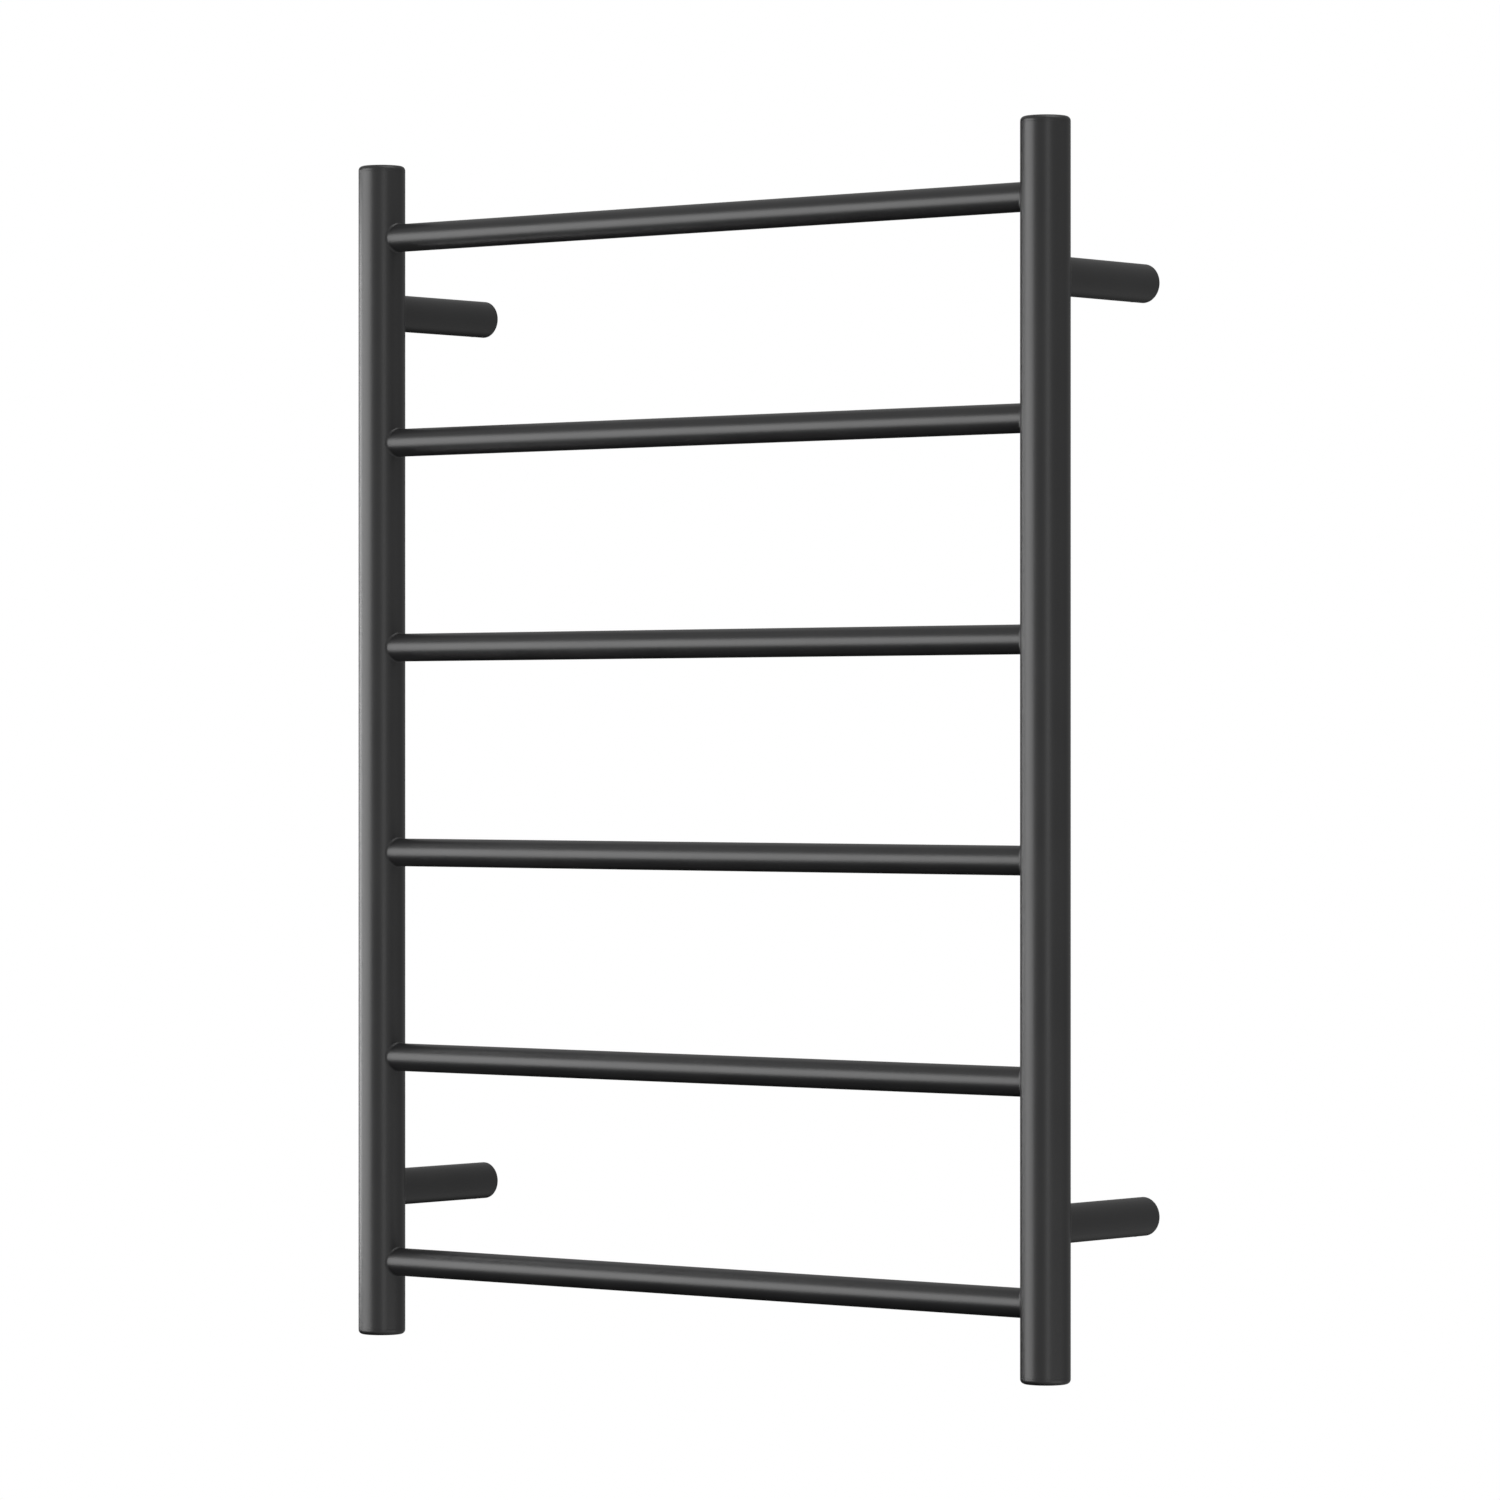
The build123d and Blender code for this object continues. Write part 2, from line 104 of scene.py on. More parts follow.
# ---- Wall bosses and grub screws ----
BOSS_RADIUS = 9.9 * MM
BOSS_FLAT = 8.4 * MM
BOSS_CHAMFER = 0.8 * MM
BOSS_CHAMFER_EDGE = 0.15 * MM
BOSS_REAR_EDGE = 0.2 * MM
SCREW_OFFSET = 4.0 * MM       # of the wall screw, from the arm's axis towards the post's end
SCREW_HOLE_RADIUS = 2.25 * MM
COUNTERSINK_RADIUS = 4.0 * MM
WIRE_HOLE_RADIUS = 4.1 * MM
GROMMET_BORE_RADIUS = 3.3 * MM
GROMMET_LIP = 1.0 * MM
GROMMET_RIM_EDGE = 0.4 * MM   # of the lip's front
GROMMET_SOFT_EDGE = 0.3 * MM
GROMMET_FINE_EDGE = 0.2 * MM
GRUB_HOLE_RADIUS = 2.5 * MM
GRUB_SOCKET_FLATS = 2.5 * MM
GRUB_SOCKET_DEPTH = 2.0 * MM
GRUB_SOCKET_POINT = 0.5 * MM  # the drill's cone at its bottom
GRUB_CUP_RADIUS = 1.2 * MM
GRUB_CUP_DEPTH = 0.6 * MM
GRUB_PITCH = 0.8 * MM
GRUB_THREAD_DEPTH = 0.42 * MM
THREAD_SLOPE = 1.6            # of a thread's flanks; over 1, its crests are flat

# ---- Terminal block ----
POLE_PITCH = 6.0 * MM
BLOCK_EDGE = 0.4 * MM
BLOCK_GROOVE = 0.7 * MM       # side of the square that makes the groove
FUNNEL = 0.3 * MM             # chamfer at the top of a clamp screw's well
CLAMP_RADIUS = 1.9 * MM
CLAMP_BORE_RADIUS = 1.2 * MM
CLAMP_ACCESS_RADIUS = 1.7 * MM
CLAMP_SCREW_RADIUS = 1.15 * MM
CLAMP_SCREW_PITCH = 7.0 * MM  # from screw to screw along a pole
CLAMP_THREAD_PITCH = 0.4 * MM
CLAMP_THREAD_DEPTH = 0.12 * MM
CLAMP_SLOT_WIDTH = 0.5 * MM
CLAMP_SLOT_DEPTH = 0.58 * MM

# ---- Wiring and earth connection ----
SLEEVE_MOUTH = 2.2 * MM       # radius of a shrink sleeve's ends
SLEEVE_MOUTH_SHARE = 0.125    # of its length, over which each end widens
SLEEVE_WAIST = 0.12 * MM      # how far it dips
SLEEVE_STEPS = 40
CRIMP_RADIUS = 2.2 * MM
CRIMP_LENGTH = 4.0 * MM
CRIMP_EDGE = 0.2 * MM
PINCH_PLACES = (0.3, 0.65)    # along a crimp, as shares of its length
PINCH_DEPTH = 0.3 * MM
PINCH_RIM_EDGE = 0.05 * MM
PINCH_FLOOR_EDGE = 0.1 * MM
CAN_EDGE = 0.8 * MM
SEAM_FROM_CRIMP = 2.2 * MM
SEAM_WIDTH = 0.9 * MM
SEAM_DEPTH = 0.2 * MM
SEAM_EDGE = 0.1 * MM
STUD_PITCH = 0.7 * MM
STUD_THREAD_DEPTH = 0.35 * MM
NUT_BORE_RADIUS = 2.1 * MM
NUT_SINK = 0.35 * MM          # countersink of the bore
NUT_FACE = 0.95               # the round face's share of the width across flats
NUT_CHAMFER = radians(30)

# ---- Camera ----
CAMERA_AZIMUTH = radians(39.43)
CAMERA_DISTANCE = 4.3773
CAMERA_ASIDE = 0.0329         # to the right of the line through the middle of the posts' plane
CAMERA_LENS = 159.6           # millimetres, as is the sensor's width
CAMERA_SENSOR = 36.0

# ---- Lights ----
# Name, azimuth and elevation in degrees, distance, half width and half height as angles in degrees
# seen from the rack's middle, and radiance.
SOFTBOXES = [
    ("key", -43.5, 3, 5.0, 25.5, 20, 4.2),
    ("left edge", -87.3, 0, 0.885, 8.2, 26, 4.6),
    ("front strip", 50.5, 0, 6.0, 6, 18, 2.2),
    ("top", 90, 68, 3.0, 20, 20, 2.0),
    ("low right", 92, -30, 2.2, 22, 8, 1.5),
]

# ---- Surround and floor ----
SURROUND = 0.53               # brightness of the dim surround
# Its darker stretches: towards where, the cosines of the angles from there at which each starts and
# is complete, and the share of the light that it leaves.
DARK_STRETCHES = [((-0.8, -0.1, -0.6), 0.25, 0.65, 0), ((0, 1, 0), 0.45, 0.85, 0.6)]
FLOOR_RADIUS = 1.4
FLOOR_THICKNESS = 0.01
FLOOR_LEVEL = -1.1            # the rack hangs with its middle that far above the floor
FLOOR_GLOW = 0.3              # light of its own, which keeps the floor pale

# ---- Materials ----
NOISE_LOW = 0.3               # most of a noise's values lie between these two
NOISE_HIGH = 0.7
RING_SIZE = 0.25 * MM         # of a lathe tool's marks
DRAWN_GRAIN = 0.2 * MM        # size of the grain on a cable or a rubber piece
DRAWN_GRAIN_HEIGHT = 0.006 * MM
STRIPE_START = 0.2 * MM       # from the earth lead's middle
STRIPE_FULL = 0.3 * MM
MIX_FACTOR = 0                # sockets of a Mix node that mixes colours
MIX_FIRST = 6
MIX_SECOND = 7
MIX_RESULT = 2


# ---- Places from the frame ----
def middle(node):
    """The middle of a node's box at rest."""
    low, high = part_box(node)
    return (low + high) / 2


def extent(node):
    """The size of a node's box at rest."""
    low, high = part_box(node)
    return high - low


def upright(node):
    """The foot, radius and length of a round node that stands upright."""
    low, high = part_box(node)
    place = middle(node)
    return Vector((place.x, place.y, low.z)), (high.x - low.x) / 2, high.z - low.z


POST_RADIUS = extent("post_left").x / 2
BAR_RADIUS = extent("bar_1").z / 2
ARM_RADIUS = extent("arm_top_left").z / 2
POST_Y = middle("post_left").y


# ---- Meshes ----
def new_object(name, data):
    """An object of that data, in the scene."""
    result = bpy.data.objects.new(name, data)
    bpy.context.scene.collection.objects.link(result)
    return result


def object_from(name, work):
    """A new object of a bmesh, which is freed."""
    mesh = bpy.data.meshes.new(name)
    work.to_mesh(mesh)
    work.free()
    return new_object(name, mesh)


def fan_hubs(work):
    """The vertices in the middle of flat fans of triangles."""
    hubs = []
    for vertex in work.verts:
        normals = [face.normal for face in vertex.link_faces]
        if len(normals) > FAN and all(normal.dot(normals[0]) > FLAT for normal in normals):
            hubs.append(vertex)
    return hubs


def mesh_object(name, vertices, faces):
    """A new object whose normals point outwards and whose flat fans are single faces."""
    mesh = bpy.data.meshes.new(name)
    mesh.from_pydata(vertices, [], faces)
    work = bmesh.new()
    work.from_mesh(mesh)
    bmesh.ops.remove_doubles(work, verts=work.verts, dist=SAME_POINT)
    bmesh.ops.recalc_face_normals(work, faces=work.faces)
    bmesh.ops.dissolve_verts(work, verts=fan_hubs(work))
    work.to_mesh(mesh)
    work.free()
    return new_object(name, mesh)


def sharp(*points):
    """The outline of (radius, height) points with no rounded corner."""
    return [Vector(point) for point in points]


def rounded(profile, steps=ARC_STEPS):
    """The outline of (radius, height, corner radius) points, with its corners as arcs."""
    outline = []
    for i, (radius, height, corner) in enumerate(profile):
        point = Vector((radius, height))
        if corner == 0:
            outline.append(point)
            continue
        before = (Vector(profile[i - 1][:2]) - point).normalized()
        after = (Vector(profile[(i + 1) % len(profile)][:2]) - point).normalized()
        half = before.angle(after) / 2
        centre = point + (before + after).normalized() * corner / sin(half)
        start = point + before * corner / tan(half) - centre
        sweep = pi - 2 * half
        turn = 1 if before.cross(after) < 0 else -1
        for step in range(steps + 1):
            angle = turn * sweep * step / steps
            outline.append(centre + Matrix.Rotation(angle, 2) @ start)
    return outline


def rings_to_faces(ring_count, ring_size):
    """Quads of a closed loop of closed rings."""
    faces = []
    for ring in range(ring_count):
        here, there = ring * ring_size, (ring + 1) % ring_count * ring_size
        for point in range(ring_size):
            after = (point + 1) % ring_size
            faces.append((here + point, here + after, there + after, there + point))
    return faces


def revolve(name, outline, segments=ROUND_SEGMENTS):
    """A solid of revolution about +Z. Quads that touch the axis close to triangles."""
    vertices = []
    for segment in range(segments):
        angle = tau * segment / segments
        vertices += [(point.x * cos(angle), point.x * sin(angle), point.y) for point in outline]
    return mesh_object(name, vertices, rings_to_faces(segments, len(outline)))


def lay(piece, origin, axis=UP):
    """Turns a piece's +Z to an axis and moves its origin to a point, in its mesh."""
    turn = Vector(UP).rotation_difference(Vector(axis)).to_matrix().to_4x4()
    piece.data.transform(Matrix.Translation(origin) @ turn)
    return piece


def tube(name, start, end, outer, inner, edge=HAIRLINE):
    """A tube from one point to another, with rounded rims."""
    length = (Vector(end) - Vector(start)).length
    profile = [(inner, 0, 0), (outer, 0, edge), (outer, length, edge), (inner, length, 0)]
    return lay(revolve(name, rounded(profile)), start, Vector(end) - Vector(start))


def cutter(start, end, radius, segments=ROUND_SEGMENTS):
    """A solid cylinder from one point to another, to cut with."""
    length = (Vector(end) - Vector(start)).length
    outline = sharp((0, 0), (radius, 0), (radius, length), (0, length))
    return lay(revolve("cutter", outline, segments), start, Vector(end) - Vector(start))


def joined(name, pieces):
    """One object of several pieces' meshes, which are removed."""
    work = bmesh.new()
    for piece in pieces:
        work.from_mesh(piece.data)
        bpy.data.objects.remove(piece)
    return object_from(name, work)


def cut(piece, *tools):
    """Takes the tools' shapes out of the piece, one after another, and removes the tools.

    Slivers that this leaves are merged away.
    """
    for tool in tools:
        change = piece.modifiers.new("cut", "BOOLEAN")
        change.object = tool
        change.solver = "EXACT"
        shape = piece.evaluated_get(bpy.context.evaluated_depsgraph_get())
        mesh = bpy.data.meshes.new_from_object(shape)
        piece.modifiers.clear()
        piece.data = mesh
        bpy.data.objects.remove(tool)
    work = bmesh.new()
    work.from_mesh(piece.data)
    bmesh.ops.remove_doubles(work, verts=work.verts, dist=SLIVER)
    bmesh.ops.dissolve_degenerate(work, edges=work.edges, dist=SLIVER)
    work.to_mesh(piece.data)
    work.free()
    return piece


def cuboid(name, centre, size, edge=0.0):
    """A block, with its edges rounded where an edge radius is given."""
    block = bmesh.new()
    bmesh.ops.create_cube(block, size=1)
    bmesh.ops.transform(block, matrix=Matrix.Diagonal(size).to_4x4(), verts=block.verts)
    if edge:
        bmesh.ops.bevel(block, geom=block.edges, offset=edge, segments=BLOCK_ARC_STEPS, profile=0.5,
                        affect="EDGES")
    bmesh.ops.translate(block, verts=block.verts, vec=centre)
    return object_from(name, block)


def shade(piece, sharp_angle=SHARP_ANGLE):
    """Smooth shading that stays flat on flat faces and breaks at sharp edges."""
    piece.data.shade_smooth()
    piece.data.set_sharp_from_angle(angle=radians(sharp_angle))
    weighting = piece.modifiers.new("weighted normals", "WEIGHTED_NORMAL")
    weighting.keep_sharp = True
    weighting.weight = NORMAL_WEIGHT
    return piece


def dress(piece, material, body, slot, *nodes):
    """Gives a piece its material and its body, and hides the CAD nodes it stands for. The slot is
    not used.
    """
    piece.data.materials.clear()
    piece.data.materials.append(material)
    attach(piece, body)
    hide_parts(*nodes)
    return piece


# ---- Ladder ----
def post_piece(side_name):
    """An upright tube, open where the bars and, on the wired side, the leads go in."""
    node = f"post_{side_name}"
    low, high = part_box(node)
    x = middle(node).x
    piece = tube(f"upright_{side_name}", (x, POST_Y, low.z), (x, POST_Y, high.z),
                 POST_RADIUS, POST_RADIUS - POST_WALL)
    inward = x - SIDES[side_name] * 2 * POST_RADIUS
    holes = []
    for bar in BAR_NAMES:
        z = middle(bar).z
        holes.append(cutter((x, POST_Y, z), (inward, POST_Y, z), BAR_RADIUS + FIT_GAP))
    if side_name == WIRED[1]:
        z = middle("arm_" + "_".join(WIRED)).z
        behind = POST_Y + 2 * POST_RADIUS
        holes.append(cutter((x, POST_Y, z), (x, behind, z), LEAD_HOLE_RADIUS))
    return shade(cut(piece, joined("cutter", holes)))


def bar_piece(node):
    """A level tube, open at both ends inside the posts."""
    low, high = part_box(node)
    z = middle(node).z
    name = node.replace("bar", "rung")
    start, end = (low.x, POST_Y, z), (high.x, POST_Y, z)
    return shade(tube(name, start, end, BAR_RADIUS, BAR_RADIUS - BAR_WALL))


def cap_piece(end_name, side_name):
    """A disc with a rounded rim, on a spigot."""
    node = f"end_cap_{end_name}_{side_name}"
    end = ENDS[end_name]
    low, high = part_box(node)
    thickness = high.z - low.z - SPIGOT_LENGTH
    spigot = POST_RADIUS - POST_WALL - FIT_GAP
    outline = rounded([
        (0, 0, 0), (spigot, 0, SPIGOT_EDGE_RADIUS), (spigot, SPIGOT_LENGTH, 0),
        (POST_RADIUS, SPIGOT_LENGTH, HAIRLINE),
        (POST_RADIUS, SPIGOT_LENGTH + thickness, CAP_EDGE_RADIUS),
        (0, SPIGOT_LENGTH + thickness, 0),
    ], CAP_ARC_STEPS)
    piece = revolve(f"end_disc_{end_name}_{side_name}", outline)
    inner_z = low.z if end > 0 else high.z
    return shade(lay(piece, (middle(node).x, POST_Y, inner_z), end * Vector(UP)))


def arm_piece(end_name, side_name):
    """A tube coped to the post, with the grub screw's hole underneath."""
    node = f"arm_{end_name}_{side_name}"
    x, z = middle(node).x, middle(node).z
    wall_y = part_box(node)[1].y
    grub_y = middle(f"grub_screw_{end_name}_{side_name}").y
    piece = tube(f"standoff_{end_name}_{side_name}", (x, POST_Y, z), (x, wall_y, z),
                 ARM_RADIUS, ARM_RADIUS - ARM_WALL, ARM_EDGE_RADIUS)
    post_shape = cutter((x, POST_Y, z - 2 * ARM_RADIUS), (x, POST_Y, z + 2 * ARM_RADIUS),
                        POST_RADIUS + COPE_GAP)
    grub_hole = cutter((x, grub_y, z), (x, grub_y, z - 2 * ARM_RADIUS), GRUB_HOLE_RADIUS)
    return shade(cut(piece, post_shape, grub_hole))


# ---- Weld beads ----
def bead(name, stub_radius):
    """The weld round a stub that leaves a post of axis +Z along +X, at the origin.

    Each section runs from the stub to the post in a slight hollow, and closes through the seam.
    """
    vertices = []
    for segment in range(WELD_SEGMENTS):
        around = tau * segment / WELD_SEGMENTS
        fine = sin(WELD_FINE_RIPPLES * around)
        slow = sin(WELD_SLOW_RIPPLES * around + stub_radius / MM)
        ripple = WELD_FINE_SHARE * fine + (1 - WELD_FINE_SHARE) * slow
        leg = WELD_LEG * (1 + WELD_RIPPLE * ripple)
        out = Vector((0, cos(around), sin(around)))
        on_seam = out * stub_radius
        on_seam.x = sqrt(POST_RADIUS ** 2 - on_seam.y ** 2)
        from_post = Vector((on_seam.x, on_seam.y, 0)).normalized()
        along_post = (out - from_post * out.dot(from_post)).normalized()
        on_stub = on_seam + Vector((leg, 0, 0))
        on_post = on_seam + along_post * leg
        outwards = Vector((on_post.x, on_post.y, 0)).normalized()
        on_post += outwards * (POST_RADIUS - on_post.xy.length)
        hollow = (on_seam - (on_stub + on_post) / 2).normalized() * WELD_HOLLOW * leg
        for step in range(WELD_PROFILE_STEPS + 1):
            share = step / WELD_PROFILE_STEPS
            vertices.append(on_stub.lerp(on_post, share) + hollow * sin(pi * share))
        vertices.append(on_seam - (out + from_post) * BEAD_SINK)
    return mesh_object(name, vertices, rings_to_faces(WELD_SEGMENTS, WELD_PROFILE_STEPS + 2))


def bar_weld_piece(bar, side_name):
    """The bead round one end of a bar."""
    piece = bead(f"{bar}_bead_{side_name}", BAR_RADIUS)
    turn = Matrix.Rotation(pi if SIDES[side_name] > 0 else 0, 4, "Z")
    place = (middle(f"post_{side_name}").x, POST_Y, middle(bar).z)
    piece.data.transform(Matrix.Translation(place) @ turn)
    return shade(piece, BEAD_SHARP_ANGLE)


def arm_weld_piece(end_name, side_name):
    """The bead where an arm leaves its post."""
    piece = bead(f"arm_bead_{end_name}_{side_name}", ARM_RADIUS)
    arm = middle(f"arm_{end_name}_{side_name}")
    turn = Matrix.Rotation(pi / 2, 4, "Z")
    piece.data.transform(Matrix.Translation((arm.x, POST_Y, arm.z)) @ turn)
    return shade(piece, BEAD_SHARP_ANGLE)


# ---- Wall bosses, grommet and grub screws ----
def boss_piece(end_name, side_name):
    """A turned plug, flat underneath, drilled off-centre and countersunk for its wall screw."""
    end = ENDS[end_name]
    arm = middle(f"arm_{end_name}_{side_name}")
    low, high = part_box(f"wall_boss_{end_name}_{side_name}")
    length = high.y - low.y
    outline = rounded([
        (0, 0, 0), (BOSS_RADIUS - BOSS_CHAMFER, 0, BOSS_CHAMFER_EDGE),
        (BOSS_RADIUS, BOSS_CHAMFER, BOSS_CHAMFER_EDGE), (BOSS_RADIUS, length, BOSS_REAR_EDGE),
        (0, length, 0),
    ])
    name = f"boss_{end_name}_{side_name}"
    piece = lay(revolve(name, outline), (arm.x, low.y, arm.z), INTO_WALL)
    size = Vector((3 * BOSS_RADIUS, 3 * length, BOSS_RADIUS))
    centre = (arm.x, (low.y + high.y) / 2, arm.z - BOSS_FLAT - size.z / 2)
    flat = cuboid("cutter", centre, size)
    screw_z = arm.z + end * SCREW_OFFSET
    sink = COUNTERSINK_RADIUS - SCREW_HOLE_RADIUS
    hole = sharp(
        (0, -OVERSHOOT), (COUNTERSINK_RADIUS + OVERSHOOT, -OVERSHOOT), (SCREW_HOLE_RADIUS, sink),
        (SCREW_HOLE_RADIUS, length + OVERSHOOT), (0, length + OVERSHOOT),
    )
    screw_hole = lay(revolve("cutter", hole, HOLE_SEGMENTS), (arm.x, low.y, screw_z), INTO_WALL)
    cut(piece, flat, screw_hole)
    if (end_name, side_name) == WIRED:
        z = middle("supply_grommet").z
        start, stop = (arm.x, low.y - OVERSHOOT, z), (arm.x, high.y + OVERSHOOT, z)
        cut(piece, cutter(start, stop, WIRE_HOLE_RADIUS, FITTING_SEGMENTS))
    return shade(piece)


def grommet_piece():
    """A lipped rubber sleeve."""
    low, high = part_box("supply_grommet")
    place = middle("supply_grommet")
    lip_radius, length = (high.x - low.x) / 2, high.y - low.y
    sleeve = WIRE_HOLE_RADIUS - FIT_GAP
    outline = rounded([
        (GROMMET_BORE_RADIUS, 0, GROMMET_FINE_EDGE), (lip_radius, 0, GROMMET_RIM_EDGE),
        (lip_radius, GROMMET_LIP, GROMMET_SOFT_EDGE), (sleeve, GROMMET_LIP, 0),
        (sleeve, length, GROMMET_FINE_EDGE), (GROMMET_BORE_RADIUS, length, GROMMET_SOFT_EDGE),
    ])
    piece = revolve("inlet_grommet", outline, FITTING_SEGMENTS)
    return shade(lay(piece, (place.x, low.y, place.z), INTO_WALL))


def threaded_rod(name, radius, length, pitch, depth, point=(), segments=THREAD_SEGMENTS):
    """An upright screw thread with chamfered ends.

    The point holds the (radius, height) points of its upper face, where that isn't flat.
    """
    rows = round(segments / SEGMENTS_PER_ROW * length / pitch)
    vertices = []
    for segment in range(segments):
        around = segment / segments
        column = [(0, 0)]
        for row in range(rows + 1):
            z = length * row / rows
            phase = (z / pitch - around) % 1
            crest = min(1, THREAD_SLOPE * (1 - abs(2 * phase - 1)))
            taper = max(0, depth - z, z - (length - depth))
            column.append((radius - max(depth * (1 - crest), taper), z))
        column += point or [(0, length)]
        across, along = cos(tau * around), sin(tau * around)
        vertices += [(out * across, out * along, z) for out, z in column]
    return mesh_object(name, vertices, rings_to_faces(segments, len(vertices) // segments))


def grub_piece(end_name, side_name):
    """A threaded screw with a cup point above and a hexagon socket below."""
    foot, radius, length = upright(f"grub_screw_{end_name}_{side_name}")
    cup = [(GRUB_CUP_RADIUS, length), (0, length - GRUB_CUP_DEPTH)]
    name = f"locking_screw_{end_name}_{side_name}"
    piece = lay(threaded_rod(name, radius, length, GRUB_PITCH, GRUB_THREAD_DEPTH, cup), foot)
    corner = GRUB_SOCKET_FLATS / sqrt(3)
    socket = sharp(
        (0, -OVERSHOOT), (corner, -OVERSHOOT), (corner, GRUB_SOCKET_DEPTH - GRUB_SOCKET_POINT),
        (0, GRUB_SOCKET_DEPTH),
    )
    return shade(cut(piece, lay(revolve("cutter", socket, HEXAGON), foot)))


# ---- Terminal block ----
def pole_xs():
    """Where the three poles lie."""
    x = middle("terminal_block").x
    return [x - POLE_PITCH, x, x + POLE_PITCH]


def clamp_screw_places():
    """Two for each pole."""
    y = middle("terminal_block").y
    return [(x, y + side * CLAMP_SCREW_PITCH / 2) for x in pole_xs() for side in (-1, 1)]


def block_piece():
    """A moulded body: rounded edges, grooves between poles, bores, and wells for the driver."""
    low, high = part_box("terminal_block")
    centre, size = middle("terminal_block"), high - low
    piece = cuboid("connector_body", centre, size, BLOCK_EDGE)
    bores = []
    for x in pole_xs():
        start, stop = (x, low.y - OVERSHOOT, centre.z), (x, high.y + OVERSHOOT, centre.z)
        bores.append(cutter(start, stop, CLAMP_RADIUS, HOLE_SEGMENTS))
    rise = high.z - centre.z
    well = sharp(
        (0, 0), (CLAMP_ACCESS_RADIUS, 0), (CLAMP_ACCESS_RADIUS, rise - FUNNEL),
        (CLAMP_ACCESS_RADIUS + FUNNEL + OVERSHOOT, rise + OVERSHOOT), (0, rise + OVERSHOOT),
    )
    wells = [lay(revolve("cutter", well, CLAMP_SEGMENTS), (x, y, centre.z))
             for x, y in clamp_screw_places()]
    groove = (BLOCK_GROOVE, 2 * size.y, BLOCK_GROOVE)
    grooves = [cuboid("cutter", (x, centre.y, z), groove)
               for x in (centre.x - POLE_PITCH / 2, centre.x + POLE_PITCH / 2)
               for z in (low.z, high.z)]
    return shade(cut(piece, *[joined("cutter", tools) for tools in (bores, wells, grooves)]))


def clamps_piece():
    """Three brass sleeves with holes for their screws."""
    low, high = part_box("terminal_clamps")
    z, radius = middle("terminal_clamps").z, (high.z - low.z) / 2
    sleeves = []
    for x in pole_xs():
        sleeve = tube("sleeve", (x, low.y, z), (x, high.y, z), radius, CLAMP_BORE_RADIUS)
        holes = [
            cutter((x, y, z), (x, y, z + 2 * radius), CLAMP_SCREW_RADIUS + FIT_GAP, CLAMP_SEGMENTS)
            for screw_x, y in clamp_screw_places() if screw_x == x
        ]
        sleeves.append(cut(sleeve, joined("cutter", holes)))
    return shade(joined("brass_sleeves", sleeves))


def clamp_screws_piece():
    """Six small slotted screws."""
    low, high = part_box("terminal_screws")
    length = high.z - low.z
    slot_size = (4 * CLAMP_SCREW_RADIUS, CLAMP_SLOT_WIDTH, 2 * CLAMP_SLOT_DEPTH)
    screws = []
    for x, y in clamp_screw_places():
        screw = threaded_rod("screw", CLAMP_SCREW_RADIUS, length, CLAMP_THREAD_PITCH,
                             CLAMP_THREAD_DEPTH, segments=CLAMP_SEGMENTS)
        slot = cuboid("cutter", (0, 0, length), slot_size)
        screws.append(lay(cut(screw, slot), (x, y, low.z)))
    return shade(joined("slotted_screws", screws))


# ---- Wiring ----
def sleeve_piece(node, name):
    """A shrink sleeve, drawn in at its ends and swollen over the crimp inside."""
    foot, radius, length = upright(node)
    outline = sharp((0, 0), (SLEEVE_MOUTH, 0))
    for step in range(1, SLEEVE_STEPS):
        share = step / SLEEVE_STEPS
        mouth = min(1, min(share, 1 - share) / SLEEVE_MOUTH_SHARE)
        swell = SLEEVE_MOUTH + (radius - SLEEVE_MOUTH) * sin(pi / 2 * mouth)
        waist = SLEEVE_WAIST * (0.5 + 0.5 * cos(2 * tau * share))
        outline.append(Vector((swell - waist * mouth, length * share)))
    outline += sharp((SLEEVE_MOUTH, length), (0, length))
    return shade(lay(revolve(name, outline, HOLE_SEGMENTS), foot), SLEEVE_SHARP_ANGLE)


def limiter_piece():
    """A drawn metal can with a rolled seam, between two crimps that are pinched twice each."""
    foot, radius, length = upright("thermal_limiter")
    lower = [(0, 0, 0), (CRIMP_RADIUS, 0, CRIMP_EDGE)]
    for share in PINCH_PLACES:
        height = share * CRIMP_LENGTH
        lower += [
            (CRIMP_RADIUS, height - PINCH_DEPTH, PINCH_RIM_EDGE),
            (CRIMP_RADIUS - PINCH_DEPTH, height, PINCH_FLOOR_EDGE),
            (CRIMP_RADIUS, height + PINCH_DEPTH, PINCH_RIM_EDGE),
        ]
    lower += [(CRIMP_RADIUS, CRIMP_LENGTH, 0), (radius, CRIMP_LENGTH, CAN_EDGE)]
    seam_start = CRIMP_LENGTH + SEAM_FROM_CRIMP
    seam_end = seam_start + SEAM_WIDTH
    seam = [
        (radius, seam_start, SEAM_EDGE),
        (radius - SEAM_DEPTH, seam_start + SEAM_DEPTH, SEAM_EDGE),
        (radius - SEAM_DEPTH, seam_end - SEAM_DEPTH, SEAM_EDGE),
        (radius, seam_end, SEAM_EDGE),
    ]
    upper = [(out, length - z, corner) for out, z, corner in reversed(lower)]
    piece = revolve("cut_out_can", rounded(lower + seam + upper), FITTING_SEGMENTS)
    return shade(lay(piece, foot))


# ---- Earth connection ----
def stud_piece():
    """A threaded stud with chamfered ends."""
    foot, radius, length = upright("earth_stud")
    rod = threaded_rod("ground_stud", radius, length, STUD_PITCH, STUD_THREAD_DEPTH)
    return shade(lay(rod, foot))


